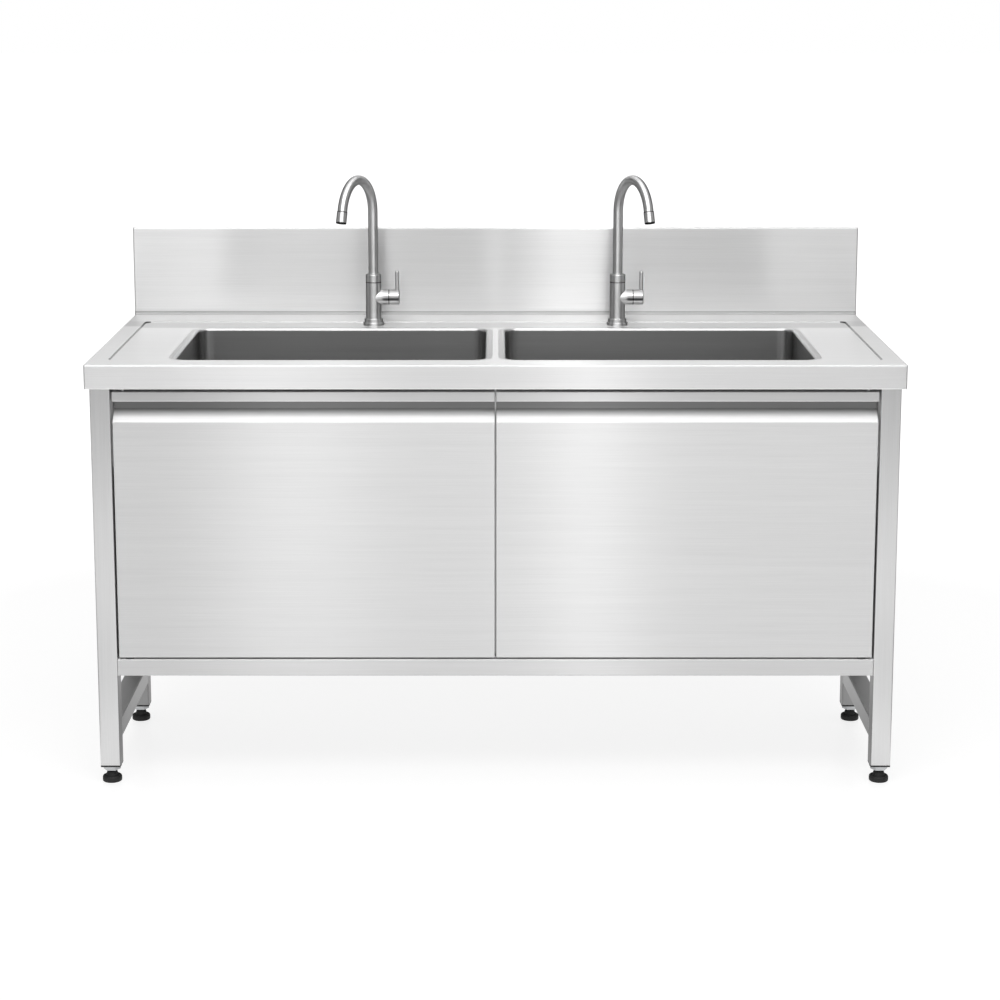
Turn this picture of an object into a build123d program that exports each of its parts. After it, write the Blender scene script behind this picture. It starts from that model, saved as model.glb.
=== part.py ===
from build123d import *
import os
from math import cos, radians, sin, sqrt

# A stainless steel kitchen sink unit: a worktop with two bowls and an upstand,
# on a four-legged cabinet with two hinged doors and two mixer taps.
# Millimetres. X runs to the right, Y to the back, Z up. The origin lies on the
# floor, under the middle of the worktop.

# ------------------------------------------------------------------ worktop
TOP_WIDTH = 1600.0
TOP_DEPTH = 700.0
TOP_HEIGHT = 860.0        # surface of the worktop above the floor
SHEET = 1.2               # sheet of the worktop and the bowls
APRON_HEIGHT = 48.0
APRON_RETURN = 15.0       # fold under the front and rear aprons
TOP_BEND = 4.0            # outside radius of the long bends
SIDE_BEND = 2.5           # outside radius of the bends at the two ends
COVE = 6.0                # hollow radius where the top turns up into the upstand
UPSTAND_HEIGHT = 194.0
UPSTAND_THICKNESS = 20.0

# Recessed field that holds the bowls and taps
FIELD_END = 39.0          # in from the ends of the worktop
FIELD_FRONT = 57.0        # behind the worktop's front edge
FIELD_BACK = 122.0        # in front of the worktop's back edge
FIELD_DEPTH = 3.5
FIELD_CORNER = 14.0
FIELD_EDGE = 1.4          # small radius along both edges of the step

# Bowls
BOWL_WIDTH = 615.0
BOWL_DEPTH = 270.0
BOWL_GAP = 40.0           # between the inner walls of the two bowls
BOWL_FRONT = 86.0         # behind the worktop's front edge
BOWL_BACK = 200.0         # in front of the worktop's back edge
BOWL_CORNER = 30.0
BOWL_FOOT = 18.0          # radius between wall and floor
BOWL_ROLL = 6.2           # visible radius round the mouth
BOWL_FLANGE = 14.0        # weld flange beyond the wall

# ---------------------------------------------------------------- cabinet
TUBE = 40.0               # square tube of the frame
TUBE_WALL = 1.5
TUBE_CORNER = 2.5
LEG_INSET_X = 5.0         # leg's outer face inside the end of the worktop
LEG_SETBACK = 30.0        # leg's front face behind the worktop's front edge
LEG_SPACING_Y = 400.0     # front face of the front legs to front face of the rear legs
LEG_BOTTOM = 37.5         # lower end of the leg tubes above the floor
SIDE_RAIL_BACK = 20.0     # rear end of the top side rails in front of the worktop's back edge
REAR_RAIL_BACK = 60.0     # rear face of the rear cross rail in front of the same edge
LOWER_RAIL_BOTTOM = 87.0
CABINET_SHEET = 1.0       # sheet of the panels and doors
SHELF_TOP = 259.0
SHELF_LIP = 34.0
SHELF_STIFFENER_WIDTH = 60.0
SHELF_STIFFENER_HEIGHT = 20.0
SHELF_STIFFENER_Y = (-180.0, -20.0)
SIDE_PANEL_INSET = 2.0    # outer face inside the legs' outer faces
PANEL_RETURN = 15.0       # folded edges of the side and back panels
BACK_PANEL_TOP = 560.0
POST_WIDTH = 40.0
POST_DEPTH = 17.0
POST_WALL = 1.5
COVER_LAP = 30.0          # cover strip behind the doors' top edges, on the rail's rear face
COVER_DROP = 23.0         # cover strip below the rail
COVER_GAP = 0.5           # between the strip and the post or the side rails

# ------------------------------------------------------------------- doors
DOOR_THICKNESS = 28.0
DOOR_BOTTOM_GAP = 3.6     # above the shelf
DOOR_TOP_GAP = 10.0       # below the apron
DOOR_LEG_GAP = 4.0
DOOR_MIDDLE_GAP = 3.0
DOOR_POST_GAP = 1.0       # behind the doors
DOOR_BEND = 1.8           # outside radius of the folded edges
GRIP_LIP = 20.0           # height of the lip above the finger recess
GRIP_OPENING = 41.0       # height of the recess at the door's face
GRIP_DEPTH = 25.0
GRIP_SLOPE = 23.5         # height of the sloping lower face
LINER_CLEARANCE = 0.2
HINGE_EDGE = 20.0         # hinge axis from the door's outer edge
HINGE_BACK = 10.0         # hinge axis behind the door's face
HINGE_PIN = 8.0
HINGE_PLAY = 0.05         # radial clearance of a pin in its bush
HINGE_BLOCK = 20.0
HINGE_BLOCK_HEIGHT = 14.0
BUSH_BARREL = 12.0
BUSH_FLANGE = 18.0
BUSH_LOWER_FLANGE = 2.5
BUSH_UPPER_FLANGE = 4.0
BUSH_LENGTH = 12.0        # barrel beyond the flange
MAGNET_WIDTH = 16.0
MAGNET_DEPTH = 14.5
MAGNET_HEIGHT = 60.0
MAGNET_DROP = 95.3        # top of the magnets below the top rail
MAGNET_GAP = 0.5          # in front of the magnet
BUFFER = 8.0
BUFFER_THICKNESS = 0.7
BUFFER_X = 10.0           # from the middle of the post
BUFFER_RISE = 41.0        # lower buffers above the shelf
BUFFER_DROP = 95.3        # upper buffers below the top rail

# -------------------------------------------------------------------- taps
TAP_X = 263.5             # tap axis from the middle of the unit
TAP_BACK = 150.0          # tap axis in front of the worktop's back edge
TAP_HOLE = 35.0
TAP_BASE = 45.0
TAP_BASE_STEP = 40.0      # upper, narrower step of the base
TAP_BASE_LOWER = 6.5
TAP_BASE_HEIGHT = 14.5
TAP_COLUMN = 33.0
TAP_COLUMN_TOP = 94.1     # above the recessed field
TAP_SHANK = 32.0
TAP_SHANK_LENGTH = 62.0
TAP_EDGE = 1.2            # small radius on turned edges
INLET_THREAD = 10.0
INLET_DEPTH = 16.0
INLET_SPACING = 15.0
VALVE_HEIGHT = 60.5       # valve axis above the recessed field
VALVE_HOUSING = 32.0
VALVE_HOUSING_END = 34.0  # from the column's axis
VALVE_BORE = 27.0
VALVE_BORE_START = 11.5
WATERWAY = 10.0
CARTRIDGE_PLAY = 0.1
CARTRIDGE_LENGTH = 19.0
SELECTOR = 24.0
SELECTOR_BORE = 14.0
SELECTOR_LENGTH = 4.7
PART_GAP = 0.3            # between turned parts that move on each other
CAP_LENGTH = 21.7
CAP_CAVITY = 26.0
CAP_CAVITY_DEPTH = 9.7
CAP_EDGE = 3.0
STEM = 7.0
STEM_REACH = 1.3          # stem past the open side of the cap
LEVER = 8.0
LEVER_INSET = 5.0         # lever's axis inside the closed end of the cap
LEVER_TIP = 57.0          # above the valve axis
LEVER_FOOT = 8.0          # lower end of the lever above the valve axis
LEVER_ROUND = 3.0
COLLAR_TOP = 110.9        # above the recessed field
COLLAR_EDGE = 2.0
NIPPLE = 24.0
NIPPLE_LENGTH = 18.0
NIPPLE_PLAY = 0.05
SPOUT_TUBE = 20.5
SPOUT_WALL = 1.6
SPOUT_SEAT = 6.0          # tube sunk into the collar
SPOUT_ARC_START = 244.1   # above the recessed field
SPOUT_RADIUS = 75.0
SPOUT_TURN = 165.0
SPOUT_STRAIGHT = 17.0     # straight end of the tube
SPOUT_ANGLE = 22.4        # spout turned outwards from straight ahead
AERATOR = 22.0
AERATOR_LENGTH = 25.0
AERATOR_OVERLAP = 12.0    # over the tube
AERATOR_OUTLET = 17.0
AERATOR_PLATE = 3.0
AERATOR_HOLE = 3.0
AERATOR_HOLE_CIRCLE = 10.0
AERATOR_HOLES = 6          # round the middle one
WASHER = 50.0
WASHER_THICKNESS = 3.0
TAP_NUT_ACROSS_FLATS = 46.0
TAP_NUT_HEIGHT = 9.0

# ------------------------------------------------------------------ drains
DRAIN_SEAT = 118.0        # pressed seat in the bowl's floor
DRAIN_SEAT_DEPTH = 3.0
DRAIN_HOLE = 90.0
DRAIN_FLANGE = 114.0
DRAIN_FLANGE_THICKNESS = 2.0
DRAIN_CUP = 88.0
DRAIN_CUP_WALL = 2.0
DRAIN_CUP_DEPTH = 48.0
DRAIN_FLOOR = 3.0
SPIGOT = 48.0
SPIGOT_BORE = 40.0
SPIGOT_LENGTH = 26.0
GASKET = 112.0
GASKET_THICKNESS = 3.0
DRAIN_NUT = 104.0
DRAIN_NUT_HEIGHT = 10.0
DRAIN_NUT_LUGS = 8
DRAIN_NUT_LUG = 8.0
TAIL = 40.0
TAIL_WALL = 1.8
TAIL_LENGTH = 110.0
TAIL_FLANGE = 46.0
TAIL_FLANGE_THICKNESS = 3.0
TAIL_SHOULDER = 42.0      # thicker neck inside the union nut
TAIL_SHOULDER_LENGTH = 6.0
TAIL_NUT = 60.0
TAIL_NUT_HEIGHT = 18.0
TAIL_NUT_LIP = 4.0
TAIL_PLAY = 0.3
BASKET = 80.0
BASKET_WALL = 1.2
BASKET_HEIGHT = 38.0
BASKET_LIFT = 2.0         # foot disc under the basket
BASKET_FOOT = 50.0
BASKET_RIM = 83.0
BASKET_RIM_HEIGHT = 2.0
BASKET_SLOT = 5.0
BASKET_SLOTS = 16
BASKET_SLOT_BOTTOM = 8.0
BASKET_SLOT_TOP = 28.0
BASKET_HOLE = 4.0
BASKET_HOLE_CIRCLES = (34.0, 56.0)
BASKET_HOLE_COUNTS = (10, 18)
BASKET_POST = 6.0
BASKET_KNOB = 16.0
BASKET_KNOB_HEIGHT = 8.0
BASKET_KNOB_TOP = 44.0    # above the basket's floor

# -------------------------------------------------------------------- feet
INSERT_RIM = 3.5
INSERT_PLUG = 25.0
INSERT_PLAY = 0.1
FOOT_NUT = 39.0           # round flange of the nut
FOOT_NUT_FLANGE = 3.0
FOOT_NUT_HEX = 30.0
FOOT_NUT_HEIGHT = 9.0
SPINDLE = 10.0
SPINDLE_TOP = 90.0
SPINDLE_SEAT = 8.0        # lower end of the spindle above the floor
SPINDLE_PLAY = 0.05
PAD = 39.0
PAD_HEIGHT = 12.0
PAD_NECK = 22.0           # width of the pad's neck
PAD_TOP = 22.0
PAD_EDGE = 2.0

# ------------------------------------------------ heights and planes worked out
FRONT = -TOP_DEPTH / 2
BACK = TOP_DEPTH / 2
END = TOP_WIDTH / 2
APRON_BOTTOM = TOP_HEIGHT - APRON_HEIGHT
UPSTAND_FRONT = BACK - UPSTAND_THICKNESS
UPSTAND_TOP = TOP_HEIGHT + UPSTAND_HEIGHT
FIELD = TOP_HEIGHT - FIELD_DEPTH
FRAME_TOP = FIELD - SHEET
RAIL_BOTTOM = FRAME_TOP - TUBE
BOWL_FLOOR = FIELD - BOWL_DEPTH
BOWL_INNER = BOWL_GAP / 2
BOWL_OUTER = BOWL_INNER + BOWL_WIDTH
BOWL_Y0 = FRONT + BOWL_FRONT
BOWL_Y1 = BACK - BOWL_BACK
LEG_OUTER = END - LEG_INSET_X
LEG_INNER = LEG_OUTER - TUBE
LEG_FRONT = FRONT + LEG_SETBACK
LEG_FRONT_BACK = LEG_FRONT + TUBE
LEG_REAR = LEG_FRONT + LEG_SPACING_Y
LEG_REAR_BACK = LEG_REAR + TUBE
SHELF_BOTTOM = SHELF_TOP - SHELF_LIP
PANEL_OUTER = LEG_OUTER - SIDE_PANEL_INSET
DOOR_INNER = DOOR_MIDDLE_GAP / 2
DOOR_OUTER = LEG_INNER - DOOR_LEG_GAP
DOOR_BOTTOM = SHELF_TOP + DOOR_BOTTOM_GAP
DOOR_TOP = APRON_BOTTOM - DOOR_TOP_GAP
DOOR_BACK = LEG_FRONT + DOOR_THICKNESS
GRIP_TOP = DOOR_TOP - GRIP_LIP
GRIP_BOTTOM = GRIP_TOP - GRIP_OPENING
HINGE_X = DOOR_OUTER - HINGE_EDGE
HINGE_Y = LEG_FRONT + HINGE_BACK
POST_FRONT = DOOR_BACK + DOOR_POST_GAP
TAP_Y = BACK - TAP_BACK
DRAIN_X = (BOWL_INNER + BOWL_OUTER) / 2
DRAIN_Y = (BOWL_Y0 + BOWL_Y1) / 2
SEAT_FLOOR = BOWL_FLOOR - DRAIN_SEAT_DEPTH
CUP_FLOOR = SEAT_FLOOR - DRAIN_CUP_DEPTH
SPIGOT_TOP = CUP_FLOOR - DRAIN_FLOOR
SPIGOT_END = SPIGOT_TOP - SPIGOT_LENGTH
LEG_CENTRE_X = LEG_OUTER - TUBE / 2
NUT_TOP = LEG_BOTTOM - INSERT_RIM
NUT_BOTTOM = NUT_TOP - FOOT_NUT_HEIGHT

LEFT = -1
RIGHT = 1
SIDES = {"left": LEFT, "right": RIGHT}
OVERCUT = 1.0             # a cutter's reach past the face it opens


# ------------------------------------------------------------ shared shapes
def block(low, high):
    """Box between two opposite corners."""
    low = Vector(*low)
    high = Vector(*high)
    size = high - low
    return Pos(low + size * 0.5) * Box(size.X, size.Y, size.Z)


def rounded_block(low, high, radius):
    """Box whose four upright edges are round."""
    shape = block(low, high)
    return fillet(shape.edges().filter_by(Axis.Z), radius)


def rod(x, y, z0, z1, diameter):
    """Upright round bar from one height to another."""
    bar = Cylinder(diameter / 2, z1 - z0, align=(Align.CENTER, Align.CENTER, Align.MIN))
    return Pos(x, y, z0) * bar


def ring(x, y, z0, z1, outer, bore):
    """Upright tube with the given outer and inner diameters."""
    return rod(x, y, z0, z1, outer) - rod(x, y, z0 - OVERCUT, z1 + OVERCUT, bore)


def hexagon(x, y, z0, z1, across_flats):
    """Upright six-sided bar."""
    plan = RegularPolygon(across_flats / sqrt(3), 6)
    return Pos(x, y, z0) * extrude(plan, z1 - z0)


def side_bar(x0, x1, diameter):
    """Round bar along X from one distance to another."""
    bar = Cylinder(diameter / 2, x1 - x0, align=(Align.CENTER, Align.CENTER, Align.MIN))
    return Pos(x0, 0, 0) * Rot(0, 90, 0) * bar


def square_tube(low, high, axis):
    """Square tube with open ends, running along an axis."""
    outer = fillet(block(low, high).edges().filter_by(axis), TUBE_CORNER)
    along = axis.direction
    wall = (Vector(1, 1, 1) - along) * TUBE_WALL
    low = Vector(*low) + wall - along * OVERCUT
    high = Vector(*high) - wall + along * OVERCUT
    return outer - block(low, high)


def on_side(shape, side):
    """A right-hand piece as it is, or mirrored to the left."""
    return shape if side == RIGHT else mirror(shape, Plane.YZ)


def both_sides(shape):
    """A right-hand piece and its mirror image as one group."""
    return Compound([shape, mirror(shape, Plane.YZ)])


def edges_at(shape, z):
    """Edges that lie wholly at one height."""
    return shape.edges().filter_by_position(Axis.Z, z - 0.01, z + 0.01)


def face_at(shape, z):
    """Largest flat face at one height."""
    level = [face for face in shape.faces().filter_by(Plane.XY) if abs(face.center().Z - z) < 0.01]
    return max(level, key=lambda face: face.area)


# ------------------------------------------------------------------ worktop
def worktop_form(inset, bottom):
    """Bent outline of the top and upstand, run from end to end.

    An inset of zero gives the outside and one sheet gives the inside.
    """
    corners = [
        (FRONT + inset, bottom),
        (FRONT + inset, TOP_HEIGHT - inset),
        (UPSTAND_FRONT + inset, TOP_HEIGHT - inset),
        (UPSTAND_FRONT + inset, UPSTAND_TOP - inset),
        (BACK - inset, UPSTAND_TOP - inset),
        (BACK - inset, bottom),
    ]
    radii = {1: TOP_BEND - inset, 2: COVE + inset, 3: TOP_BEND - inset, 4: TOP_BEND - inset}
    section = make_face(Polyline(*corners, close=True))
    for index, radius in radii.items():
        target = Vector(*corners[index])
        corner = section.vertices().sort_by_distance(target)[0]
        section = fillet(corner, radius)
    half = END - inset
    form = extrude(Plane.YZ.offset(-half) * section, 2 * half)
    ends = form.faces().filter_by(Axis.X).edges()
    ends = ends.filter_by(lambda edge: edge.center().Z > bottom + OVERCUT)
    return fillet(ends, SIDE_BEND - inset)


def field_block(inset, top):
    """Room of the recessed field above its floor, grown by an inset."""
    half = END - FIELD_END + inset
    low = (-half, FRONT + FIELD_FRONT - inset, FIELD - inset)
    high = (half, BACK - FIELD_BACK + inset, top)
    return rounded_block(low, high, FIELD_CORNER + inset)


def bowl_block(grow, z0, z1):
    """Round-cornered block over the right-hand bowl, grown by a margin."""
    low = (BOWL_INNER - grow, BOWL_Y0 - grow, z0)
    high = (BOWL_OUTER + grow, BOWL_Y1 + grow, z1)
    return rounded_block(low, high, BOWL_CORNER + grow)


def worktop():
    """Pressed sheet: top, recessed field, aprons and boxed upstand."""
    outside = worktop_form(0, APRON_BOTTOM) - field_block(0, TOP_HEIGHT + OVERCUT)
    rim = face_at(outside, TOP_HEIGHT).inner_wires()[0].edges()
    step = face_at(outside, FIELD).outer_wire().edges()
    outside = outside.fillet(FIELD_EDGE, rim + step)
    inside = worktop_form(SHEET, APRON_BOTTOM + SHEET) - field_block(SHEET, TOP_HEIGHT)
    under = block(
        (-END + SHEET, FRONT + SHEET + APRON_RETURN, APRON_BOTTOM - OVERCUT),
        (END - SHEET, BACK - SHEET - APRON_RETURN, APRON_BOTTOM + SHEET + OVERCUT),
    )
    top = outside - inside - under
    for side in SIDES.values():
        top -= on_side(bowl_block(BOWL_FLANGE, FRAME_TOP - OVERCUT, FIELD + OVERCUT), side)
        top -= rod(side * TAP_X, TAP_Y, FRAME_TOP - OVERCUT, FIELD + OVERCUT, TAP_HOLE)
    return top


def bowl(side):
    """Pressed bowl with a rolled mouth, a weld flange and a sunk drain seat."""
    shell = bowl_block(SHEET, BOWL_FLOOR - SHEET, FRAME_TOP)
    shell = fillet(edges_at(shell, BOWL_FLOOR - SHEET), BOWL_FOOT + SHEET)
    shell += bowl_block(BOWL_FLANGE, FRAME_TOP, FIELD)
    neck = face_at(shell, FRAME_TOP).inner_wires()[0].edges()
    shell = shell.fillet(BOWL_ROLL - SHEET, neck)
    seat = (DRAIN_X, DRAIN_Y)
    shell += rod(*seat, SEAT_FLOOR - SHEET, BOWL_FLOOR, DRAIN_SEAT + 2 * SHEET)
    room = bowl_block(0, BOWL_FLOOR, FIELD + OVERCUT)
    room = fillet(edges_at(room, BOWL_FLOOR), BOWL_FOOT)
    shell -= room
    mouth = face_at(shell, FIELD).inner_wires()[0].edges()
    shell = shell.fillet(BOWL_ROLL, mouth)
    shell -= rod(*seat, SEAT_FLOOR, BOWL_FLOOR + OVERCUT, DRAIN_SEAT)
    shell -= rod(*seat, SEAT_FLOOR - SHEET - OVERCUT, SEAT_FLOOR + OVERCUT, DRAIN_HOLE)
    return on_side(shell, side)


# ------------------------------------------------------------------- frame
def leg(side, front_face, top):
    """Upright square tube."""
    low = (LEG_INNER, front_face, LEG_BOTTOM)
    high = (LEG_OUTER, front_face + TUBE, top)
    return on_side(square_tube(low, high, Axis.Z), side)


def front_top_rail():
    """Tube between the front legs, drilled from below for the upper hinge bushes.

    Two strips on its rear face hang down behind the doors and close the gap over them.
    """
    low = (-LEG_INNER, LEG_FRONT, RAIL_BOTTOM)
    high = (LEG_INNER, LEG_FRONT_BACK, FRAME_TOP)
    rail = square_tube(low, high, Axis.X)
    strip = block(
        (POST_WIDTH / 2 + COVER_GAP, LEG_FRONT_BACK, RAIL_BOTTOM - COVER_DROP),
        (LEG_INNER - COVER_GAP, LEG_FRONT_BACK + CABINET_SHEET, RAIL_BOTTOM + COVER_LAP),
    )
    for side in SIDES.values():
        rail += on_side(strip, side)
        rail -= rod(
            side * HINGE_X,
            HINGE_Y,
            RAIL_BOTTOM - OVERCUT,
            RAIL_BOTTOM + TUBE_WALL + OVERCUT,
            BUSH_BARREL,
        )
    return rail


def side_top_rails():
    """Tubes over the rear legs, one at each end."""
    low = (LEG_INNER, LEG_FRONT_BACK, RAIL_BOTTOM)
    high = (LEG_OUTER, BACK - SIDE_RAIL_BACK, FRAME_TOP)
    return both_sides(square_tube(low, high, Axis.Y))


def rear_top_rail():
    """Cross tube behind the bowls and taps."""
    rear_face = BACK - REAR_RAIL_BACK
    low = (-LEG_INNER, rear_face - TUBE, RAIL_BOTTOM)
    high = (LEG_INNER, rear_face, FRAME_TOP)
    return square_tube(low, high, Axis.X)


def lower_side_rails():
    """Tubes low down between the front and rear legs."""
    low = (LEG_INNER, LEG_FRONT_BACK, LOWER_RAIL_BOTTOM)
    high = (LEG_OUTER, LEG_REAR, LOWER_RAIL_BOTTOM + TUBE)
    return both_sides(square_tube(low, high, Axis.Y))


def shelf_outline(inset, z0, z1):
    """Shelf block, notched at its corners for the legs and shrunk by an inset."""
    middle = block(
        (-LEG_INNER + inset, LEG_FRONT + inset, z0),
        (LEG_INNER - inset, LEG_REAR_BACK - CABINET_SHEET - inset, z1),
    )
    reach = PANEL_OUTER - CABINET_SHEET - inset
    wings = block(
        (-reach, LEG_FRONT_BACK + CABINET_SHEET + inset, z0),
        (reach, LEG_REAR - CABINET_SHEET - inset, z1),
    )
    return middle + wings


def bottom_shelf():
    """Sheet shelf with its edges folded down and the lower hinge bush holes."""
    shelf = shelf_outline(0, SHELF_BOTTOM, SHELF_TOP)
    lip = shelf.edges().filter_by(Axis.X).sort_by(Axis.Y)[:2]
    shelf = fillet(lip, DOOR_BEND)
    shelf -= shelf_outline(SHEET, SHELF_BOTTOM - OVERCUT, SHELF_TOP - SHEET)
    for side in SIDES.values():
        shelf -= rod(
            side * HINGE_X,
            HINGE_Y,
            SHELF_TOP - SHEET - OVERCUT,
            SHELF_TOP + OVERCUT,
            BUSH_BARREL,
        )
    return shelf


def shelf_stiffeners():
    """Channels under the shelf, open upwards and closed by it."""
    top = SHELF_TOP - SHEET
    bottom = top - SHELF_STIFFENER_HEIGHT
    half = LEG_INNER - SHEET
    bars = []
    for y in SHELF_STIFFENER_Y:
        y1 = y + SHELF_STIFFENER_WIDTH
        bar = block((-half, y, bottom), (half, y1, top))
        bar -= block(
            (-half - OVERCUT, y + SHEET, bottom + SHEET),
            (half + OVERCUT, y1 - SHEET, top + OVERCUT),
        )
        bars.append(bar)
    return Compound(bars)


def side_panel(side):
    """Sheet between the legs with its front, rear and top edges folded inwards."""
    low = (PANEL_OUTER - PANEL_RETURN, LEG_FRONT_BACK, SHELF_BOTTOM)
    high = (PANEL_OUTER, LEG_REAR, RAIL_BOTTOM)
    panel = block(low, high)
    panel -= block(
        (low[0] - OVERCUT, low[1] + CABINET_SHEET, low[2] - OVERCUT),
        (high[0] - CABINET_SHEET, high[1] - CABINET_SHEET, high[2] - CABINET_SHEET),
    )
    return on_side(panel, side)


def back_panel():
    """Low sheet between the rear legs, folded forwards at its ends and top."""
    low = (-LEG_INNER, LEG_REAR_BACK - PANEL_RETURN, SHELF_BOTTOM)
    high = (LEG_INNER, LEG_REAR_BACK, BACK_PANEL_TOP)
    panel = block(low, high)
    panel -= block(
        (low[0] + CABINET_SHEET, low[1] - OVERCUT, SHELF_TOP),
        (high[0] - CABINET_SHEET, high[1] - CABINET_SHEET, high[2] - CABINET_SHEET),
    )
    panel -= block(
        (low[0] - OVERCUT, low[1] - OVERCUT, low[2] - OVERCUT),
        (high[0] + OVERCUT, high[1] - CABINET_SHEET, SHELF_TOP),
    )
    return panel


def centre_post():
    """Channel behind the meeting edges of the doors, open to the back."""
    half = POST_WIDTH / 2
    low = (-half, POST_FRONT, SHELF_TOP)
    high = (half, POST_FRONT + POST_DEPTH, RAIL_BOTTOM)
    post = block(low, high)
    return post - block(
        (low[0] + POST_WALL, low[1] + POST_WALL, low[2] - OVERCUT),
        (high[0] - POST_WALL, high[1] + OVERCUT, high[2] + OVERCUT),
    )


def magnet_catches():
    """Magnets on both flanks of the post, just behind the doors."""
    inner = POST_WIDTH / 2
    front = DOOR_BACK + MAGNET_GAP
    top = RAIL_BOTTOM - MAGNET_DROP
    catch = block(
        (inner, front, top - MAGNET_HEIGHT),
        (inner + MAGNET_WIDTH, front + MAGNET_DEPTH, top),
    )
    return both_sides(catch)


def door_buffers():
    """Thin rubber discs on the post that the doors close against."""
    discs = []
    for x in (-BUFFER_X, BUFFER_X):
        for z in (SHELF_TOP + BUFFER_RISE, RAIL_BOTTOM - BUFFER_DROP):
            disc = Cylinder(BUFFER / 2, BUFFER_THICKNESS, align=(Align.CENTER, Align.CENTER, Align.MIN))
            discs.append(Pos(x, POST_FRONT, z) * Rot(90, 0, 0) * disc)
    return Compound(discs)


# ------------------------------------------------------------------- doors
def door_section():
    """Side outline of a door: flat face, sloping finger recess and top lip."""
    grip_back = LEG_FRONT + GRIP_DEPTH
    corners = [
        (LEG_FRONT, DOOR_BOTTOM),
        (LEG_FRONT, GRIP_BOTTOM),
        (grip_back, GRIP_BOTTOM + GRIP_SLOPE),
        (grip_back, GRIP_TOP),
        (LEG_FRONT, GRIP_TOP),
        (LEG_FRONT, DOOR_TOP),
        (DOOR_BACK, DOOR_TOP),
        (DOOR_BACK, DOOR_BOTTOM),
    ]
    section = make_face(Polyline(*corners, close=True))
    for corner in corners[:6]:
        vertex = section.vertices().sort_by_distance(Vector(*corner))[0]
        section = fillet(vertex, DOOR_BEND)
    return section


def hinge_pin_holes(low, high):
    """Upright hole for a hinge pin between two heights."""
    return rod(HINGE_X, HINGE_Y, low - OVERCUT, high + OVERCUT, HINGE_PIN)


def door_skin(side):
    """Folded outer sheet of a door, open at the back."""
    section = door_section()
    width = DOOR_OUTER - DOOR_INNER
    skin = extrude(Plane.YZ.offset(DOOR_INNER) * section, width)
    hollow = offset(section, -CABINET_SHEET, kind=Kind.INTERSECTION)
    inner = DOOR_INNER + CABINET_SHEET
    skin -= extrude(Plane.YZ.offset(inner) * hollow, width - 2 * CABINET_SHEET)
    skin -= block(
        (inner, DOOR_BACK - 2 * CABINET_SHEET, DOOR_BOTTOM + CABINET_SHEET),
        (DOOR_OUTER - CABINET_SHEET, DOOR_BACK + OVERCUT, DOOR_TOP - CABINET_SHEET),
    )
    skin -= hinge_pin_holes(DOOR_BOTTOM, DOOR_BOTTOM + CABINET_SHEET)
    skin -= hinge_pin_holes(DOOR_TOP - CABINET_SHEET, DOOR_TOP)
    return on_side(skin, side)


def door_liner(side):
    """Flat inner sheet that closes the back of a door."""
    margin = CABINET_SHEET + LINER_CLEARANCE
    low = (DOOR_INNER + margin, DOOR_BACK - CABINET_SHEET, DOOR_BOTTOM + margin)
    high = (DOOR_OUTER - margin, DOOR_BACK, DOOR_TOP - margin)
    return on_side(block(low, high), side)


def door_hinge_pins(side):
    """Upper and lower pins of a door, each with the block that holds it inside."""
    half = HINGE_BLOCK / 2
    front = LEG_FRONT + DOOR_BEND
    back = LEG_FRONT + GRIP_DEPTH - CABINET_SHEET
    foot = DOOR_BOTTOM + CABINET_SHEET
    head = DOOR_TOP - CABINET_SHEET
    lower = block((HINGE_X - half, front, foot), (HINGE_X + half, back, foot + HINGE_BLOCK_HEIGHT))
    lower += rod(HINGE_X, HINGE_Y, SHELF_TOP - BUSH_LENGTH, foot + OVERCUT, HINGE_PIN)
    upper = block((HINGE_X - half, front, head - HINGE_BLOCK_HEIGHT), (HINGE_X + half, back, head))
    upper += rod(HINGE_X, HINGE_Y, head - OVERCUT, RAIL_BOTTOM + BUSH_LENGTH, HINGE_PIN)
    return on_side(lower, side), on_side(upper, side)


def hinge_bushes():
    """Flanged plastic bushes: two on the shelf and two under the front rail."""
    bore = HINGE_PIN + 2 * HINGE_PLAY
    shelf_flange = SHELF_TOP + BUSH_LOWER_FLANGE
    rail_flange = RAIL_BOTTOM - BUSH_UPPER_FLANGE
    bushes = []
    for side in SIDES.values():
        at = (side * HINGE_X, HINGE_Y)
        lower = rod(*at, SHELF_TOP, shelf_flange, BUSH_FLANGE)
        lower += rod(*at, SHELF_TOP - BUSH_LENGTH, SHELF_TOP, BUSH_BARREL)
        upper = rod(*at, rail_flange, RAIL_BOTTOM, BUSH_FLANGE)
        upper += rod(*at, RAIL_BOTTOM, RAIL_BOTTOM + BUSH_LENGTH, BUSH_BARREL)
        hole = rod(*at, SHELF_TOP - BUSH_LENGTH - OVERCUT, RAIL_BOTTOM + BUSH_LENGTH + OVERCUT, bore)
        bushes += [lower - hole, upper - hole]
    return Compound(bushes)


# -------------------------------------------------------------------- taps
def at_tap(side):
    """Foot of a tap on the recessed field."""
    return Pos(side * TAP_X, TAP_Y, FIELD)


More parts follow.
